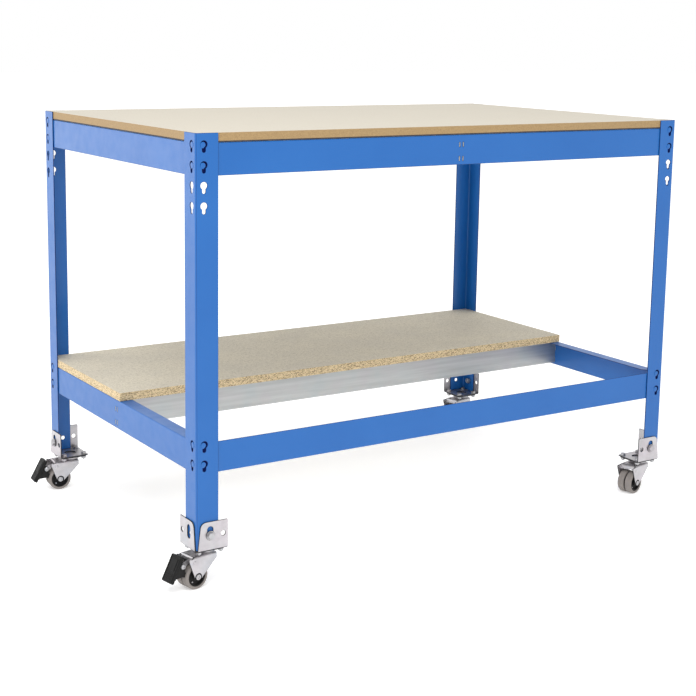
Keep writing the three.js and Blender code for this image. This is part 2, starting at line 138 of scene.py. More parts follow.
def keyhole(x, z):
    meet = math.degrees(math.acos(KEYHOLE["slot"] / KEYHOLE["round"]))
    low = arc((x, z - KEYHOLE["down"]), KEYHOLE["slot"], 180, 360, 10)
    high = arc((x, z + KEYHOLE["up"]), KEYHOLE["round"], -meet, 180 + meet, 20)
    return low + high


def turns_left(points):
    pairs = zip(points, points[1:] + points[:1])
    return sum(a[0] * b[1] - b[0] * a[1] for a, b in pairs) > 0


# ---- Solids, as bmeshes in mm ----


def filled_curve(rim, holes):
    """A flat filled curve inside a rim, with holes."""
    curve = bpy.data.curves.new("plate", "CURVE")
    curve.dimensions = "2D"
    curve.fill_mode = "BOTH"
    for index, outline in enumerate([rim, *holes]):
        if turns_left(outline) != (index == 0):
            outline = outline[::-1]
        spline = curve.splines.new("POLY")
        spline.points.add(len(outline) - 1)
        for point, (x, y) in zip(spline.points, outline):
            point.co = (x, y, 0, 1)
        spline.use_cyclic_u = True
    return curve


def plate(rim, holes, thick, soft):
    """A flat sheet in XY, centred on z = 0, with softened edges round its rim and holes.

    Its cut walls and their rounding take the second material of the piece, if there is one; the blue
    and zinc sheets give a darker look there, as painted shade along the edges.
    """
    curve = filled_curve(rim, holes)
    curve.extrude = thick / 2 - soft
    curve.bevel_depth = soft
    curve.bevel_resolution = 1
    curve.offset = -soft
    drawn = bpy.data.objects.new("plate", curve)
    mesh = bpy.data.meshes.new_from_object(drawn)
    bm = bmesh.new()
    bm.from_mesh(mesh)
    bmesh.ops.remove_doubles(bm, verts=bm.verts, dist=1e-4)
    bpy.data.objects.remove(drawn)
    bpy.data.curves.remove(curve)
    bpy.data.meshes.remove(mesh)
    bm.normal_update()
    for face in bm.faces:
        face.material_index = 1 if abs(face.normal.z) < 0.95 else 0
    return bm


def fold(bm, bend, sheet, steps=6):
    """Wraps a flat sheet round a right-angle bend of that outer radius, along the line x = 0.

    A point (s, l, t) becomes (a, b, l): a runs along the leg with s > 0, b along the other.
    """
    middle = bend - sheet / 2
    reach = middle * math.pi / 4
    for step in range(steps + 1):
        at = (reach * (2 * step / steps - 1), 0, 0)
        everything = bm.verts[:] + bm.edges[:] + bm.faces[:]
        bmesh.ops.bisect_plane(bm, geom=everything, plane_co=at, plane_no=(1, 0, 0))
    for vertex in bm.verts:
        s, along, t = vertex.co
        if s > reach:
            a, b = bend + s - reach, bend - middle - t
        elif s < -reach:
            a, b = bend - middle - t, bend - s - reach
        else:
            angle = math.radians(225) + s / middle
            a = bend + (middle + t) * math.cos(angle)
            b = bend + (middle + t) * math.sin(angle)
        vertex.co = (a, b, along)
    return bm


def flat(distance, bend, sheet):
    """Where a point that far from a folded sheet's outer corner lies in the flat sheet."""
    return distance - bend + (bend - sheet / 2) * math.pi / 4


def lathe(profile, steps=64):
    """A closed profile of (radius, y) points turned about the Y axis; radius 0 makes a pole."""
    bm = bmesh.new()
    rings = []
    for radius, y in profile:
        if radius < 1e-6:
            rings.append([bm.verts.new((0, y, 0))] * steps)
            continue
        ring = []
        for step in range(steps):
            angle = 2 * math.pi * step / steps
            ring.append(bm.verts.new((radius * math.cos(angle), y, radius * math.sin(angle))))
        rings.append(ring)
    for ring, after in zip(rings, rings[1:] + rings[:1]):
        for step in range(steps):
            other = (step + 1) % steps
            corners = []
            for vertex in (ring[step], ring[other], after[other], after[step]):
                if vertex not in corners:
                    corners.append(vertex)
            if len(corners) > 2:
                bm.faces.new(corners)
    return bm


def moved(bm, x=0, y=0, z=0):
    bmesh.ops.translate(bm, verts=bm.verts, vec=(x, y, z))
    return bm


def turned(bm, degrees, axis):
    bm.transform(Matrix.Rotation(math.radians(degrees), 4, axis))
    return bm


def merged(*parts):
    """One bmesh that holds every part as a closed shell of its own."""
    whole = bmesh.new()
    for part in parts:
        mesh = bpy.data.meshes.new("part")
        part.to_mesh(mesh)
        part.free()
        whole.from_mesh(mesh)
        bpy.data.meshes.remove(mesh)
    return whole


def mirrored(bm):
    """The part and its twin on the other side of y = 0."""
    twin = bm.copy()
    twin.transform(Matrix.Scale(-1, 4, (0, 1, 0)))
    return merged(bm, twin)


SWAP_XY = Matrix(((0, 1, 0, 0), (1, 0, 0, 0), (0, 0, 1, 0), (0, 0, 0, 1)))
SWAP_YZ = Matrix(((1, 0, 0, 0), (0, 0, 1, 0), (0, 1, 0, 0), (0, 0, 0, 1)))


def upright(bm, y0, y1):
    """Stands a plate drawn in XY up in XZ, between y0 and y1."""
    bm.transform(SWAP_YZ)
    return moved(bm, y=(y0 + y1) / 2)


def hex_prism(flats, y0, y1, chamfer=0.8):
    """A hexagon bar along Y with a turned chamfer at its y0 end."""
    corner = flats / math.sqrt(3)
    rings = [(corner * 0.9, y0), (corner, y0 + chamfer), (corner, y1)]
    return lathe([(0, y0), *rings, (0, y1)], 6)


def emit(bm, name, body, looks, place=None, sharp=32):
    """Turns a bmesh in mm into a piece that rides on a CAD body."""
    if place is not None:
        bm.transform(place)
    bm.transform(Matrix.Scale(MM, 4))
    bmesh.ops.recalc_face_normals(bm, faces=bm.faces)
    for edge in bm.edges:
        one_look = len({face.material_index for face in edge.link_faces}) == 1
        edge.smooth = one_look and edge.calc_face_angle(0) < math.radians(sharp)
    for face in bm.faces:
        face.smooth = True
        face.material_index = min(face.material_index, len(looks) - 1)
    mesh = bpy.data.meshes.new(name)
    bm.to_mesh(mesh)
    bm.free()
    for look in looks:
        mesh.materials.append(look)
    piece = bpy.data.objects.new(name, mesh)
    scene.collection.objects.link(piece)
    weighted = piece.modifiers.new("Normals", "WEIGHTED_NORMAL")
    weighted.keep_sharp = True
    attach(piece, body)
    return piece


def soften(node, look, width):
    """Keeps a CAD node, with its edges rounded by that many mm."""
    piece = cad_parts[node]
    piece.data.materials.clear()
    piece.data.materials.append(look)
    piece.modifiers.new("Weld", "WELD").merge_threshold = 1e-5
    bevel = piece.modifiers.new("Edges", "BEVEL")
    bevel.width = width * MM
    bevel.segments = 2
    bevel.limit_method = "ANGLE"
    bevel.angle_limit = math.radians(40)
    bevel.harden_normals = True


# ---- Materials ----


def wire(tree, socket, value):
    if isinstance(value, bpy.types.NodeSocket):
        tree.links.new(value, socket)
    else:
        socket.default_value = value


def node(tree, kind, attributes=None, **inputs):
    """Adds a shader node; an input's name has _ for each space, and takes a value or a socket."""
    made = tree.nodes.new(kind)
    for key, value in (attributes or {}).items():
        setattr(made, key, value)
    for key, value in inputs.items():
        wire(tree, made.inputs[key.replace("_", " ")], value)
    return made


def shader(name, **sockets):
    """A new material with a Principled shader and those of its inputs set."""
    material = bpy.data.materials.new(name)
    material.use_nodes = True
    tree = material.node_tree
    surface = tree.nodes["Principled BSDF"]
    for key, value in sockets.items():
        surface.inputs[key.replace("_", " ")].default_value = value
    coords = node(tree, "ShaderNodeTexCoord").outputs["Object"]
    return material, tree, surface, coords


def stretched(tree, coords, scale):
    """Object coordinates with each axis scaled, so that a texture runs longer along one."""
    mapping = node(tree, "ShaderNodeMapping", Vector=coords, Scale=scale)
    return mapping.outputs["Vector"]


def noise(tree, coords, scale, detail=3.0, roughness=0.5):
    made = node(tree, "ShaderNodeTexNoise", Vector=coords, Scale=scale, Detail=detail)
    made.inputs["Roughness"].default_value = roughness
    return made.outputs["Fac"]


def ramp(tree, fac, *stops):
    """A colour ramp through (position, colour) stops."""
    made = node(tree, "ShaderNodeValToRGB", Fac=fac)
    elements = made.color_ramp.elements
    while len(elements) < len(stops):
        elements.new(0.5)
    for element, (position, colour) in zip(elements, stops):
        element.position = position
        element.color = (*colour, 1)
    return made.outputs["Color"]


def spread(tree, fac, low, high):
    """A value from 0.3 to 0.7, as noise mostly is, spread from low to high."""
    made = node(tree, "ShaderNodeMapRange", Value=fac, From_Min=0.3, From_Max=0.7)
    made.inputs["To Min"].default_value = low
    made.inputs["To Max"].default_value = high
    return made.outputs["Result"]


def bump(tree, height, strength, distance):
    made = node(tree, "ShaderNodeBump", Height=height, Strength=strength, Distance=distance)
    return made.outputs["Normal"]


def mix(tree, fac, a, b, blend="MIX"):
    made = node(tree, "ShaderNodeMix", {"data_type": "RGBA", "blend_type": blend})
    wire(tree, made.inputs[0], fac)
    wire(tree, made.inputs[6], a)
    wire(tree, made.inputs[7], b)
    return made.outputs[2]


def blue_paint(name, low, high, specular, coat):
    """Satin powder coat: an even blue with a fine orange peel."""
    material, tree, surface, coords = shader(
        name, Specular_IOR_Level=specular, Coat_Weight=coat, Coat_Roughness=0.14
    )
    cloud = noise(tree, coords, 7.0)
    colour = ramp(tree, cloud, (0.3, low), (0.7, high))
    wire(tree, surface.inputs["Base Color"], colour)
    patches = noise(tree, coords, 45.0)
    wire(tree, surface.inputs["Roughness"], spread(tree, patches, 0.33, 0.43))
    peel = noise(tree, coords, 650.0, 1.0)
    wire(tree, surface.inputs["Normal"], bump(tree, peel, 0.12, 0.0003))
    return material


def worktop_face():
    """Smooth cream board with a faint long grain and small flecks."""
    material, tree, surface, coords = shader("worktop_face", Specular_IOR_Level=0.35)
    grain = noise(tree, stretched(tree, coords, (3.0, 40.0, 40.0)), 3.0, 5.0)
    base = ramp(tree, grain, (0.3, (0.525, 0.485, 0.405)), (0.7, (0.57, 0.53, 0.445)))
    fleck = noise(tree, coords, 420.0, 2.0, 0.7)
    tint = ramp(tree, fleck, (0.35, (0.93, 0.91, 0.88)), (0.6, (1.0, 1.0, 1.0)))
    wire(tree, surface.inputs["Base Color"], mix(tree, 1.0, base, tint, "MULTIPLY"))
    wire(tree, surface.inputs["Roughness"], spread(tree, grain, 0.5, 0.62))
    wire(tree, surface.inputs["Normal"], bump(tree, fleck, 0.08, 0.0003))
    return material


def board_edge(name, pale, dark, size, foot=None):
    """A sawn board edge of pressed chips or fibre, with a near-black strip along its foot if a foot
    is given: painted shade for the shadow gap between the board and the beam under it.
    """
    material, tree, surface, coords = shader(name, Specular_IOR_Level=0.6)
    flakes = node(
        tree,
        "ShaderNodeTexVoronoi",
        Vector=stretched(tree, coords, (1.0, 1.0, 2.6)),
        Scale=1000 / size,
    )
    split = node(tree, "ShaderNodeSeparateColor", Color=flakes.outputs["Color"])
    chip = ramp(tree, split.outputs["Red"], (0.05, dark), (0.55, pale), (1.0, pale))
    dust = noise(tree, coords, 900.0, 2.0, 0.7)
    grit = ramp(tree, dust, (0.3, (0.72, 0.68, 0.6)), (0.6, (1.0, 1.0, 1.0)))
    colour = mix(tree, 1.0, chip, grit, "MULTIPLY")
    # Painted shade: the strip up to 2.2 to 2.7 mm above the foot turns near-black, for the shadow gap
    # under the board.
    if foot is not None:
        foot_shade = (0.006, 0.006, 0.018, 1)
        height = node(tree, "ShaderNodeSeparateXYZ", Vector=coords).outputs["Z"]
        above = node(tree, "ShaderNodeMapRange", Value=height)
        above.inputs["From Min"].default_value = (foot + 2.2) * MM
        above.inputs["From Max"].default_value = (foot + 2.7) * MM
        colour = mix(tree, above.outputs["Result"], foot_shade, colour)
    wire(tree, surface.inputs["Base Color"], colour)
    wire(tree, surface.inputs["Roughness"], spread(tree, dust, 0.55, 0.7))
    wire(tree, surface.inputs["Normal"], bump(tree, flakes.outputs["Distance"], 0.35, 0.0006))
    return material


def chipboard_face():
    """Sanded chipboard: fine pressed flakes in greys and beiges."""
    material, tree, surface, coords = shader("chipboard_face", Specular_IOR_Level=0.3)
    warped = node(tree, "ShaderNodeTexNoise", Vector=coords, Scale=60.0)
    shifted = mix(tree, 0.012, coords, warped.outputs["Color"], "ADD")
    flakes = node(tree, "ShaderNodeTexVoronoi", Vector=shifted, Scale=420.0)
    split = node(tree, "ShaderNodeSeparateColor", Color=flakes.outputs["Color"])
    chip = ramp(
        tree,
        split.outputs["Red"],
        (0.0, (0.465, 0.42, 0.33)),
        (0.3, (0.58, 0.53, 0.425)),
        (1.0, (0.665, 0.615, 0.50)),
    )
    cloud = noise(tree, coords, 9.0, 4.0)
    tone = ramp(tree, cloud, (0.3, (0.90, 0.90, 0.91)), (0.7, (1.0, 1.0, 1.0)))
    wire(tree, surface.inputs["Base Color"], mix(tree, 1.0, chip, tone, "MULTIPLY"))
    wire(tree, surface.inputs["Roughness"], spread(tree, cloud, 0.6, 0.75))
    wire(tree, surface.inputs["Normal"], bump(tree, split.outputs["Green"], 0.06, 0.0004))
    return material


def zinc(name, stretch, roughness, tint, metal=0.88):
    """Bright zinc plate with faint spangle; stretch draws it out into rolling lines."""
    material, tree, surface, coords = shader(name, Metallic=metal)
    run = stretched(tree, coords, stretch)
    spangle = noise(tree, run, 38.0, 4.0, 0.6)
    dull = [0.77 * channel for channel in tint]
    colour = ramp(tree, spangle, (0.3, dull), (0.7, tint))
    warm = noise(tree, coords, 16.0)
    rosy, cool = (1.0, 0.965, 0.985), (0.955, 0.985, 1.0)
    tinge = ramp(tree, warm, (0.35, rosy), (0.5, (1.0, 1.0, 1.0)), (0.65, cool))
    wire(tree, surface.inputs["Base Color"], mix(tree, 1.0, colour, tinge, "MULTIPLY"))
    wire(tree, surface.inputs["Roughness"], spread(tree, spangle, roughness, roughness + 0.14))
    scuff = noise(tree, run, 420.0, 2.0)
    wire(tree, surface.inputs["Normal"], bump(tree, scuff, 0.1, 0.0002))
    return material


def tyre_rubber():
    """Matt warm grey rubber, darker where it has picked up dust."""
    material, tree, surface, coords = shader("tyre_rubber", Specular_IOR_Level=0.35)
    cloud = noise(tree, coords, 55.0, 4.0)
    colour = ramp(tree, cloud, (0.3, (0.185, 0.166, 0.154)), (0.7, (0.245, 0.220, 0.205)))
    wire(tree, surface.inputs["Base Color"], colour)
    wire(tree, surface.inputs["Roughness"], spread(tree, cloud, 0.55, 0.7))
    grain = noise(tree, coords, 1400.0, 2.0)
    wire(tree, surface.inputs["Normal"], bump(tree, grain, 0.2, 0.0002))
    return material


def black(name, level, roughness, grain_scale):
    """Moulded plastic or black coated steel."""
    material, tree, surface, coords = shader(name, Specular_IOR_Level=0.22)
    cloud = noise(tree, coords, 90.0)
    dark, light = [level * 0.8] * 3, [level * 1.25, level * 1.22, level * 1.18]
    wire(tree, surface.inputs["Base Color"], ramp(tree, cloud, (0.3, dark), (0.7, light)))
    wire(tree, surface.inputs["Roughness"], spread(tree, cloud, roughness, roughness + 0.12))
    grain = noise(tree, coords, grain_scale, 2.0)
    wire(tree, surface.inputs["Normal"], bump(tree, grain, 0.25, 0.0002))
    return material


# The cut edges, the crease and the recess are painted darker: painted shade, in place of fine shadows
# along edges and in seams.
BLUE = blue_paint("blue_paint", (0.004, 0.104, 0.372), (0.007, 0.115, 0.395), 0.35, 0.18)
BLUE_EDGE_SHADE = blue_paint("blue_edge_shade", (0.001, 0.020, 0.11), (0.002, 0.026, 0.13), 0.2, 0.0)
BLUE_CREASE_SHADE = blue_paint("blue_crease_shade", (0.002, 0.058, 0.24), (0.003, 0.065, 0.26), 0.35, 0.18)
RECESS_SHADE = blue_paint("recess_shadow", (0.001, 0.005, 0.055), (0.002, 0.006, 0.070), 0.05, 0.0)
WORKTOP = worktop_face()
# The worktop's edge gets a near-black strip along its foot: painted shade.
WORKTOP_EDGE = board_edge(
    "worktop_edge", (0.385, 0.255, 0.11), (0.30, 0.19, 0.08), 1.6, POST_TOP - BOARD
)
CHIPBOARD = chipboard_face()
CHIPBOARD_EDGE = board_edge("chipboard_edge", (0.74, 0.585, 0.345), (0.20, 0.135, 0.065), 2.8)
ZINC = zinc("zinc_sheet", (1.0, 1.0, 1.0), 0.30, (0.555, 0.538, 0.552))
# Near-black zinc for the cut edges, the brackets' underside and foot, and the washer rims: painted
# shade, in place of thin shadows.
ZINC_EDGE_SHADE = zinc("zinc_edge_shade", (1.0, 1.0, 1.0), 0.55, (0.03, 0.03, 0.032), 0.3)
ZINC_ROLLED = zinc("zinc_rolled", (0.12, 1.0, 3.0), 0.34, (0.505, 0.512, 0.495))
ZINC_SMALL = zinc("zinc_small", (2.5, 2.5, 2.5), 0.32, (0.50, 0.495, 0.505))
TYRE = tyre_rubber()
PLASTIC = black("black_plastic_moulded", 0.005, 0.5, 1100.0)
STEEL = black("black_steel_coated", 0.006, 0.45, 800.0)


# ---- Frame: posts, beams, boards and tie bars ----


def place(x, y, z, sx=1, sy=1):
    """Mirrors a part by the signs given, then moves it to a place measured from the middle."""
    mirror = Matrix.Diagonal((sx, sy, 1, 1))
    return Matrix.Translation((MIDDLE.x + x, MIDDLE.y + y, z)) @ mirror


def post():
    """An angle post, its outer corner at the origin and its legs along +X and +Y.

    A narrow stripe on its rounded corner takes the third material, a darker blue painted as shade
    along the bend.
    """
    bend, sheet = POST["bend"], POST["sheet"]
    reach = flat(POST["leg"], bend, sheet)
    length = POST["length"]
    bolt_up = BRACKET_FOOT + BOLT["up"] - POST_FOOT
    holes = []
    for side in (-1, 1):
        s = side * flat(KEYHOLE["inset"], bend, sheet)
        holes += [keyhole(s, z) for z in KEYHOLE_ROWS]
        holes.append(circle((side * flat(BOLT["across"], bend, sheet), bolt_up), BOLT["hole"]))
    rim = rounded([(-reach, 0), (reach, 0), (reach, length), (-reach, length)], 1.2, 3)
    bm = fold(plate(rim, holes, sheet, 0.6), bend, sheet)
    for face in bm.faces:
        centre = face.calc_center_median()
        if 0 < centre.x - centre.y < POST["crease"] and centre.x + centre.y < bend:
            face.material_index = 2
    return bm


def hook(x, row, hand):
    """The hook at a beam's end: a rounded tongue pressed out through the keyhole's round."""
    outline = arc((-2.1, 3.2), 5.2, -70, 180, 20) + [(-7.0, -1.4), (-3.4, -3.0), (-1.2, -3.2)]
    back, front = -3.0, 0.4
    tongue = plate([(x + hand * a, row + b) for a, b in outline], [], front - back, 0.5)
    for face in tongue.faces:
        face.material_index = 0
    return upright(tongue, back, front)


def recess(x, row):
    """A thin dark navy plate behind a keyhole that holds a hook: painted shade for the shadowed
    hollow there.
    """
    spans = (x - 8, x + 8, row - 12.5, row + 12.5)
    bm = upright(plate(rounded_rect(*spans, 2, 3), [], 0.2, 0.05), -0.27, -0.07)
    for face in bm.faces:
        face.material_index = 2
    return bm


def tie_slots(flange_low):
    """The four slots in the middle of a beam's web that take a tie bar's tabs."""
    across, wide, high = (TIE_SLOTS[key] for key in ("across", "width", "height"))
    slots = []
    for drop in TIE_SLOTS["drops"]:
        depth = BEAM["height"] - drop if flange_low else drop
        s = -flat(depth, BEAM["bend"], BEAM["sheet"])
        for x in (-across, across):
            spans = (s - high / 2, s + high / 2, x - wide / 2, x + wide / 2)
            slots.append(rounded_rect(*spans, 0.8, 3))
    return slots


def beam(span, flange_low, slotted):
    """Drawn along X, with the web's outer face at y = 0 and the underside at z = 0."""
    height, sheet, bend = BEAM["height"], BEAM["sheet"], BEAM["bend"]
    half = span / 2 - BEAM["end"]
    foot = -flat(height, bend, sheet)
    tip = flat(BEAM["flange"], bend, sheet)
    start = -(bend - sheet / 2) * math.pi / 4
    tip_half = half - BEAM["flange"] + 0.5
    rim = [(foot, half), (start, half), (tip, tip_half)]
    rim += [(s, -along) for s, along in reversed(rim)]
    holes = tie_slots(flange_low) if slotted else []
    bm = fold(plate(rim, holes, sheet, 0.65), bend, sheet)
    up = 1 if flange_low else -1
    base = 0 if flange_low else height
    bm.transform(Matrix(((0, 0, 1, 0), (1, 0, 0, 0), (0, up, 0, base), (0, 0, 0, 1))))
    inset = span / 2 - KEYHOLE["inset"]
    hand = 1 if span == LENGTH else -1
    spots = [(x, row) for x in (-inset, inset) for row in HOOK_ROWS]
    hooks = [hook(x, row, hand) for x, row in spots]
    return merged(bm, *hooks, *[recess(x, row) for x, row in spots])


def build_posts():
    for side, sx in SIDES.items():
        for end, sy in ENDS.items():
            name = f"post_{end}_{side}"
            at = place(sx * LENGTH / 2, sy * DEPTH / 2, POST_FOOT, -sx, -sy)
            looks = [BLUE, BLUE_EDGE_SHADE, BLUE_CREASE_SHADE]
            piece = emit(post(), name + "_folded", "frame", looks, at)
            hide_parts(name)


def build_beams():
    sides = [("front", LENGTH, DEPTH, 0), ("right", DEPTH, LENGTH, 90)]
    sides += [("back", LENGTH, DEPTH, 180), ("left", DEPTH, LENGTH, 270)]
    for side, span, across, turn in sides:
        out = across / 2 - WEB_INSET
        spin = Matrix.Rotation(math.radians(turn), 4, "Z")
        for level, z in (("upper", UPPER_BEAM), ("lower", LOWER_BEAM)):
            low = level == "lower" and side == "front"
            slotted = (level == "upper") == (span == LENGTH)
            at = place(0, 0, z) @ spin @ Matrix.Translation((0, -out, 0))
            name = f"{level}_beam_{side}"
            folded = beam(span, low, slotted)
            looks = [BLUE, BLUE_EDGE_SHADE, RECESS_SHADE]
            piece = emit(folded, name + "_folded", "frame", looks, at)
            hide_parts(name)


def board(y0, y1, nick_front):
    edge = LENGTH / 2 - WEB_INSET
    nick = BOARD_NICK
    front = [(edge - nick, y0), (edge, y0 + nick)] if nick_front else [(edge, y0)]
    right = front + [(edge, y1 - nick), (edge - nick, y1)]
    rim = right + [(-x, y) for x, y in reversed(right)]
    return plate(rim, [], BOARD, 0.7)


def build_board(name, y0, y1, nick_front, z, looks):
    bm = moved(board(y0, y1, nick_front), z=BOARD / 2)
    bm.normal_update()
    for face in bm.faces:
        face.material_index = 0 if abs(face.normal.z) > 0.5 else 1
    piece = emit(bm, name + "_eased", "frame", looks, place(0, 0, z))
    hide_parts(name)


def build_boards():
    edge = DEPTH / 2 - WEB_INSET
    looks = [WORKTOP, WORKTOP_EDGE]
    build_board("worktop", -edge, edge, True, POST_TOP - BOARD, looks)
    shelf_foot = LOWER_BEAM + BEAM["height"] + GAP
    looks = [CHIPBOARD, CHIPBOARD_EDGE]
    build_board("lower_shelf", SHELF_FRONT, edge, False, shelf_foot, looks)


# ---- Castor brackets ----


def bracket_flange():
    """One flange with its bend, in (s, l): s runs up the flange as it gets more negative.

    Its inner edge leans in towards the post's corner at the foot.
    """
    size, sheet, bend = BRACKET["size"], BRACKET["sheet"], BRACKET["bend"]
    top = -flat(BRACKET["height"], bend, sheet)
    reach = (bend - sheet / 2) * math.pi / 4
    radius = BRACKET_EDGE["round"]
    rim = [(reach, BRACKET_EDGE["foot"]), (reach, size)]
    rim += arc((top + 2, size - 2), 2, 90, 180, 4)
    rim += arc((top + radius, BRACKET_EDGE["top"] + radius), radius, 180, 270, 10)
    middle, across = -flat(BRACKET_SLOT["up"], bend, sheet), BRACKET_SLOT["across"]
    half, slot_round = BRACKET_SLOT["half"], BRACKET_SLOT["round"]
    spans = (middle - half, middle + half, across - slot_round, across + slot_round)
    slot = rounded_rect(*spans, slot_round - 0.01, 8)
    hole_at = (-flat(BRACKET_HOLE["up"], bend, sheet), BRACKET_HOLE["across"])
    hole = circle(hole_at, BRACKET_HOLE["radius"])
    bm = fold(plate(rim, [slot, hole], sheet, 0.35), bend, sheet, 4)
    return moved(bm, x=-GAP - sheet)


def bracket():
    """Drawn like a post: the post's outer corner at the origin, its legs along +X and +Y.

    Its underside and the foot of its bends take the dark second look, as painted shade for the
    shadowed seam below.
    """
    size, sheet, corner = BRACKET["size"], BRACKET["sheet"], BRACKET["corner"]
    edge = -GAP - sheet + BRACKET["bend"]
    start = BRACKET_EDGE["top"]
    rim = [(start, edge), (size, edge)]
    rim += arc((size - corner, size - corner), corner, 0, 90, 6)
    rim += [(edge, size), (edge, start)]
    centre = SWIVEL_INSET
    holes = [circle((centre, centre), 13)]
    base = moved(plate(rim, holes, sheet, 0.35), z=sheet / 2)
    along_y = bracket_flange()
    along_y.transform(SWAP_YZ)
    along_x = along_y.copy()
    along_x.transform(SWAP_XY)
    bm = merged(base, along_y, along_x)
    # Painted shade: faces near the foot take the dark look, for the shadow in the seam below.
    for face in bm.faces:
        if face.calc_center_median().z < BRACKET["seam"]:
            face.material_index = 1
    return bm


def bracket_bolt():
    """Bolt, washer and nut along Y through the flange on the leg along X."""
    washer_face = -2 * GAP - BRACKET["sheet"]
    head_face = washer_face - 1.6
    nut_face = POST["sheet"] + GAP
    tip = nut_face + 8.5
    radius, flats = BOLT["shank"], BOLT["flats"]
    profile = [(0, head_face - 1), (radius, head_face - 1), (radius, tip - 1), (3, tip), (0, tip)]
    shank = lathe(profile)
    washer = [(4.2, head_face), (9.2, head_face), (9.5, head_face + 0.4)]
    washer += [(9.5, washer_face), (4.2, washer_face)]
    head = hex_prism(flats, head_face - 5.5, head_face)
    nut = hex_prism(flats, nut_face + 6.5, nut_face)
    disc = lathe(washer, 40)
    # Painted shade: the washer's outer rim takes the dark look.
    for face in disc.faces:
        centre = face.calc_center_median()
        face.material_index = 1 if math.hypot(centre.x, centre.z) > 9.25 else 0
    bm = merged(shank, disc, head, nut)
    return moved(bm, x=BOLT["across"], z=BOLT["up"])


# ---- Castors, drawn with the swivel axis on Z and the floor at z = 0, trailing to -X ----


def about_z(bm):
    """Turns a lathed part from the Y axis onto the Z axis, +Y up."""
    return turned(bm, 90, "X")


def castor_plate():
    """The square plate, the ball race pressed into its underside and the king pin's head."""
    half = PLATE["size"] / 2
    foot, sheet = PLATE["foot"], PLATE["sheet"]
    rim = rounded_rect(-half, half, -half, half, 6)
    sheet_part = moved(plate(rim, [], sheet, 0.4), z=foot + sheet / 2)
    low = foot - 6.4
    dish = [(0, low), (19.2, low), (20.4, low + 0.5), (21.2, low + 1.6), (21.6, low + 4.2)]
    dish += [(23.0, low + 5.3), (25.2, foot + 0.2), (0, foot + 0.2)]
    under = FORK["top"] - FORK["sheet"] - 0.5
    pin_head = [(0, under - 2.5), (7.8, under - 2.5), (9, under - 1.7), (9, under)]
    pin_head += [(6, under), (6, under + 5.5), (0, under + 5.5)]
    return merged(sheet_part, about_z(lathe(dish)), about_z(lathe(pin_head, 32)))


def plate_bolt():
    """One of the four small bolts that hold a castor to its bracket."""
    base_top = BRACKET_FOOT + BRACKET["sheet"]
    foot = PLATE["foot"]
    head = about_z(hex_prism(10, base_top + 4, base_top + 1.1, 0.6))
    disc = [(0, base_top), (6.2, base_top), (6.2, base_top + 1), (0, base_top + 1)]
    washer = about_z(lathe(disc, 32))
    nut = about_z(hex_prism(10, foot - 4.6, foot - 0.2, 0.6))
    low = foot - 7
    shank = lathe([(0, low), (1.8, low), (3, low + 1.6), (3, base_top + 2), (0, base_top + 2)], 24)
    return merged(head, washer, nut, about_z(shank))


def tangent_angle(point, centre, radius, side):
    """Where a line from the point touches the circle, in degrees."""
    away = Vector(point) - Vector(centre)
    angle = math.degrees(math.atan2(away.y, away.x))
    return angle + side * math.degrees(math.acos(radius / away.length))


def fork_half():
    """One cheek and half the crown of the fork, folded from one sheet, on the -Y side."""
    bend, sheet, half = FORK["bend"], FORK["sheet"], FORK["half"]
    top = FORK["top"]
    toe, toe_round = (-TRAIL, top - AXLE_UP), FORK["toe"]
    back, front = (-51.5, 7), (14, 10)
    # Known fault: last lacks 360 degrees, so this arc runs over the axle and not under it. The
    # cheek ends in a round bite, and its axle hole is a loose disc. The CAD's toe is right.
    first = tangent_angle(front, toe, toe_round, 1)
    last = tangent_angle(back, toe, toe_round, -1)
    cheek = [front] + arc(toe, toe_round, first, last, 16) + [back, (-51.5, 3.2), (-49.5, 1.8)]
    rim = [(-flat(b, bend, sheet), x) for x, b in cheek]
    crown_back = -39
    start = -(bend - sheet / 2) * math.pi / 4
    rim += [(0.6 * start, -46), (0.2 * start, crown_back - 1), (0.4, crown_back)]
    centre = flat(half, bend, sheet)
    rim += [(centre, crown_back)]
    rim += arc((centre, 0), FORK["pin_hole"], 270, 90, 10)
    rim += [(centre, front[0] - 1.5), (centre - 6, front[0]), (start, front[0])]
    hole = circle((-flat(toe[1], bend, sheet), toe[0]), FORK["axle_hole"])
    bm = fold(plate(rim, [hole], sheet, 0.35), bend, sheet)
    bm.transform(Matrix(((0, 0, 1, 0), (1, 0, 0, -half), (0, -1, 0, top), (0, 0, 0, 1))))
    return bm


def fork_lip():
    """The crown's rear edge turned down between the cheeks."""
    bend, sheet = 3.6, FORK["sheet"]
    across = FORK["half"] - 3.4
    reach = (bend - sheet / 2) * math.pi / 4
    low = -flat(11.5, bend, sheet)
    rim = [(reach, -across), (low, -across + 1), (low + 3.5, -across + 9)]
    rim += [(low + 3.5, across - 9), (low, across - 1), (reach, across)]
    bm = fold(plate(rim, [], sheet, 0.35), bend, sheet, 4)
    bm.transform(Matrix(((1, 0, 0, -42.6), (0, 0, 1, 0), (0, -1, 0, FORK["top"]), (0, 0, 0, 1))))
    return bm


def fork_ear():
    """The eye that carries the brake's pivot, hanging from the crown's rear."""
    root = (-41.5, FORK["top"] - 4.5)
    away = Vector(root) - Vector(PIVOT)
    lean = math.degrees(math.atan2(away.y, away.x))
    rim = [(root[0] + 1, FORK["top"] - 2.9), (root[0] - 2, FORK["top"] - 2.6)]
    rim += arc(PIVOT, 6, lean + 90, lean + 270, 12)
    rim += [(root[0] + 1, FORK["top"] - 11.5)]
    return upright(plate(rim, [circle(PIVOT, 3.3, 24)], 2, 0.3), 8, 10)


def rivet(reach, radius, thick, shank):
    """A pin along Y, hollow-set at both ends, its heads starting at that reach."""
    end = reach + thick
    head = [(0, end - 1.3), (radius * 0.34, end - 1.3), (radius * 0.42, end - 0.1)]
    head += [(radius * 0.6, end), (radius * 0.9, end - 0.45 * thick), (radius, reach), (shank, reach)]
    return lathe([(r, -y) for r, y in head] + [(r, y) for r, y in reversed(head)], 40)


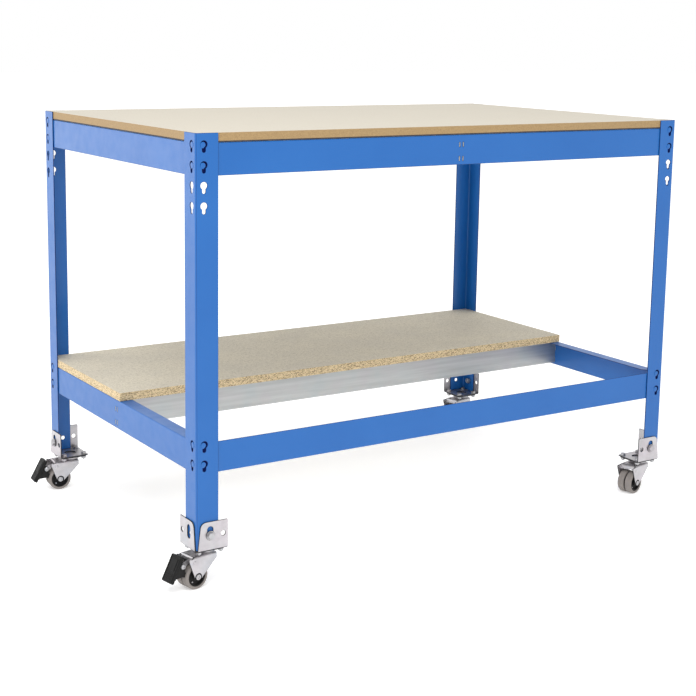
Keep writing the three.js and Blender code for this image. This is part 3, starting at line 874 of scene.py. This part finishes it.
def fork(braked):
    """The folded fork with its lip, race ring, bumps and, with a brake, the pivot's eyes."""
    low = FORK["top"] - 0.3
    ring = [(7.2, low), (19.0, low), (18.2, low + 1.2), (16.6, low + 1.8), (8.0, low + 1.8)]
    dimple = [(0, 0.1), (3.6, 0.1), (3.2, -0.8), (2.0, -1.3), (0, -1.5)]
    bump_up = moved(lathe(dimple, 28), -38.5, -FORK["half"], FORK["top"] - 10.5)
    parts = [mirrored(fork_half()), fork_lip(), about_z(lathe(ring)), mirrored(bump_up)]
    if braked:
        parts.append(mirrored(fork_ear()))
    return merged(*parts)


def tyre():
    """A crowned tread with round shoulders, its axle along Y."""
    half = TYRE_WIDTH / 2
    profile = [(20, -half + 0.6), (21, -half + 0.2)]
    profile += arc((22.4, -half + 3.6), 3.6, -90, -12, 9)
    profile.append((AXLE_UP, -1.6))
    mirror = [(r, -y) for r, y in reversed(profile)]
    return lathe(profile + mirror, 96)


def hub(out):
    """A dished wheel centre; out is the side with the recess, -1 or 1 along Y."""
    profile = [(4.3, -7.4), (7.2, -7.4), (8.0, -6.8), (8.0, -3.6), (9.2, -3.2), (10.6, -3.2)]
    profile += [(10.9, -3.8), (12.4, -3.8), (12.7, -3.2), (15.4, -3.2), (16.3, -3.8)]
    profile += [(16.6, -7.0), (17.4, -7.5), (19.2, -7.5), (19.7, -7.0), (19.7, 7.0)]
    profile += [(19.2, 7.5), (4.3, 7.5)]
    return lathe([(r, -out * y) for r, y in profile], 72)


def hub_pin(out):
    """The small pale pin in the hub's recess."""
    angle, away = math.radians(232), 13.9
    dome = [(0, 0), (1.7, 0), (1.5, 0.9), (0.8, 1.3), (0, 1.4)]
    bm = lathe([(r, out * (3.1 + y)) for r, y in dome], 20)
    return moved(bm, x=away * math.cos(angle), z=away * math.sin(angle))


def tread_place():
    """From the tread's own axes, s down it, t in from its face and Y across, to the castor's."""
    lean = math.radians(PEDAL["tilt"])
    down = Vector((-math.sin(lean), 0, -math.cos(lean)))
    inward = Vector((math.cos(lean), 0, -math.sin(lean)))
    across = Vector((0, 1, 0))
    top = Vector((PEDAL["top"][0], 0, PEDAL["top"][1]))
    return Matrix((*zip(down, across, inward, top), (0, 0, 0, 1)))


def pedal():
    """A moulded tread: a rimmed block with a smooth pad above and grip ribs below."""
    length, half, thick = PEDAL["length"], PEDAL["width"] / 2, PEDAL["thick"]
    body = plate(rounded_rect(0, length, -half, half, 2.5, 5), [], thick - 1.1, 0.9)
    moved(body, z=1.1 + (thick - 1.1) / 2)
    inner = rounded_rect(2.6, length - 2.6, -half + 2.6, half - 2.6, 1.4, 4)
    rim = plate(rounded_rect(0.6, length - 0.6, 0.6 - half, half - 0.6, 2.1, 5), [inner], 1.6, 0.3)
    parts = [body, moved(rim, z=0.9)]
    pad = plate(rounded_rect(6, 31, -half + 6, half - 6, 1.5, 4), [], 1.4, 0.3)
    parts.append(moved(pad, z=1.0))
    first_rib, pitch, wide = 35.5, 4.3, 2.1
    for row in range(4):
        s = first_rib + row * pitch
        rib = plate(rounded_rect(s, s + wide, -half + 4.6, half - 4.6, 0.9, 4), [], 1.5, 0.3)
        parts.append(moved(rib, z=0.95))
    bm = merged(*parts)
    bm.transform(tread_place())
    return bm


# ---- Putting the castors and brackets in place ----


def build_corner(end, side):
    sx, sy = SIDES[side], ENDS[end]
    corner = f"{end}_{side}"
    low = place(sx * LENGTH / 2, sy * DEPTH / 2, BRACKET_FOOT, -sx, -sy)
    piece = emit(bracket(), f"bracket_{corner}", "frame", [ZINC, ZINC_EDGE_SHADE], low)
    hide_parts(f"castor_bracket_{corner}")
    bolt = bracket_bolt()
    if end == "back":
        bolt.transform(SWAP_XY)
    piece = emit(bolt, f"bolt_{corner}", "frame", [ZINC_SMALL, ZINC_EDGE_SHADE], low)
    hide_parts(f"bracket_bolt_{corner}")
    x, y = sx * (LENGTH / 2 - SWIVEL_INSET), sy * (DEPTH / 2 - SWIVEL_INSET)
    axis = place(x, y, 0)
    piece = emit(castor_plate(), f"plate_{corner}", "frame", [ZINC, ZINC_EDGE_SHADE], axis)
    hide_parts(f"castor_plate_{corner}")
    spots = [(dx, dy) for dx in (-24, 24) for dy in (-24, 24)]
    bolts = merged(*[moved(plate_bolt(), dx, dy) for dx, dy in spots])
    emit(bolts, f"plate_bolts_{corner}", "frame", [ZINC_SMALL], axis)
    build_castor(corner, axis, side == "left")


def build_castor(corner, axis, braked):
    axis = axis @ Matrix.Rotation(math.radians(SWIVEL[corner]), 4, "Z")
    body = f"{corner}_fork"
    piece = emit(fork(braked), f"fork_{corner}", body, [ZINC, ZINC_EDGE_SHADE], axis)
    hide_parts(f"castor_fork_{corner}")
    axle_place = axis @ Matrix.Translation((-TRAIL, 0, AXLE_UP))
    pin = rivet(reach=22.3, radius=5.6, thick=0.9, shank=4)
    piece = emit(pin, f"axle_{corner}", body, [ZINC_SMALL], axle_place)
    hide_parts(f"castor_axle_{corner}")
    build_wheels(corner, axle_place)
    if braked:
        build_brake(corner, axis)


def build_wheels(corner, axle_place):
    for name, out in (("near", -1), ("far", 1)):
        wheel = f"{corner}_{name}_wheel"
        centre = axle_place @ Matrix.Translation((0, out * WHEEL_OFFSET, 0))
        piece = emit(tyre(), f"tread_{name}_{corner}", wheel, [TYRE], centre)
        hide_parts(f"tyre_{name}_{corner}")
        piece = emit(hub(out), f"centre_{name}_{corner}", wheel, [PLASTIC], centre)
        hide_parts(f"hub_{name}_{corner}")
        emit(hub_pin(out), f"pin_{name}_{corner}", wheel, [ZINC_SMALL], centre)


def build_brake(corner, axis):
    body = f"{corner}_fork"
    at = axis @ Matrix.Translation((PIVOT[0], 0, PIVOT[1]))
    pin = rivet(reach=13.4, radius=5.5, thick=3, shank=3)
    piece = emit(pin, f"pivot_{corner}", body, [ZINC_SMALL], at)
    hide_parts(f"brake_pivot_{corner}")
    brake = f"{corner}_brake"
    piece = emit(pedal(), f"tread_{corner}", brake, [PLASTIC], axis)
    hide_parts(f"brake_pedal_{corner}")
    soften(f"brake_lever_{corner}", STEEL, 0.35)


# ---- Studio ----

CAMERA_AT = Vector((-1766.3, -2690.6, 1065.8))
CAMERA_TURN = (80.27, -0.9, -32.69)
CAMERA_LENS = 72.8
CAMERA_SHIFT = -0.106


def build_floor():
    bm = bmesh.new()
    bmesh.ops.create_grid(bm, x_segments=8, y_segments=8, size=30)
    mesh = bpy.data.meshes.new("floor")
    bm.to_mesh(mesh)
    bm.free()
    floor = bpy.data.objects.new("floor", mesh)
    scene.collection.objects.link(floor)
    material, tree, surface, coords = shader(
        "pale_floor", Roughness=0.9, Specular_IOR_Level=0.1, Emission_Strength=0.3
    )
    surface.inputs["Emission Color"].default_value = (1, 1, 1, 1)
    cloud = noise(tree, coords, 0.6)
    colour = ramp(tree, cloud, (0.3, (0.93, 0.93, 0.93)), (0.7, (0.95, 0.95, 0.95)))
    wire(tree, surface.inputs["Base Color"], colour)
    mesh.materials.append(material)


def area_light(name, at, target, size, watts):
    data = bpy.data.lights.new(name, "AREA")
    data.shape = "RECTANGLE"
    data.size, data.size_y = size
    data.energy = watts
    light = bpy.data.objects.new(name, data)
    light.location = at
    light.rotation_euler = (Vector(target) - Vector(at)).to_track_quat("-Z", "Y").to_euler()
    light.visible_camera = False
    scene.collection.objects.link(light)


def build_studio():
    world = bpy.data.worlds.new("studio")
    scene.world = world
    world.use_nodes = True
    background = world.node_tree.nodes["Background"]
    background.inputs["Color"].default_value = (1, 1, 1, 1)
    background.inputs["Strength"].default_value = 1.0
    area_light("key", (-1.6, -1.8, 3.2), (0, 0, 0.4), (2.0, 2.0), 60)
    area_light("side", (-2.8, 2.8, 1.5), (0, 0, 0.5), (3.4, 2.8), 34)
    scene.view_settings.view_transform = "Standard"
    scene.view_settings.look = "None"
    scene.view_settings.exposure = 0
    scene.view_settings.gamma = 1


def build_camera():
    data = bpy.data.cameras.new("camera")
    data.sensor_width = 36
    data.lens = CAMERA_LENS
    data.shift_y = CAMERA_SHIFT
    data.clip_start = 0.05
    data.clip_end = 200
    camera = bpy.data.objects.new("camera", data)
    camera.location = (Vector((MIDDLE.x, MIDDLE.y, 0)) + CAMERA_AT) * MM
    camera.rotation_euler = [math.radians(angle) for angle in CAMERA_TURN]
    scene.collection.objects.link(camera)
    scene.camera = camera


build_camera()
build_studio()
build_floor()
build_posts()
build_beams()
build_boards()
soften("worktop_tie_bar", ZINC_ROLLED, 0.4)
soften("shelf_tie_bar", ZINC_ROLLED, 0.4)
for end_name in ENDS:
    for side_name in SIDES:
        build_corner(end_name, side_name)
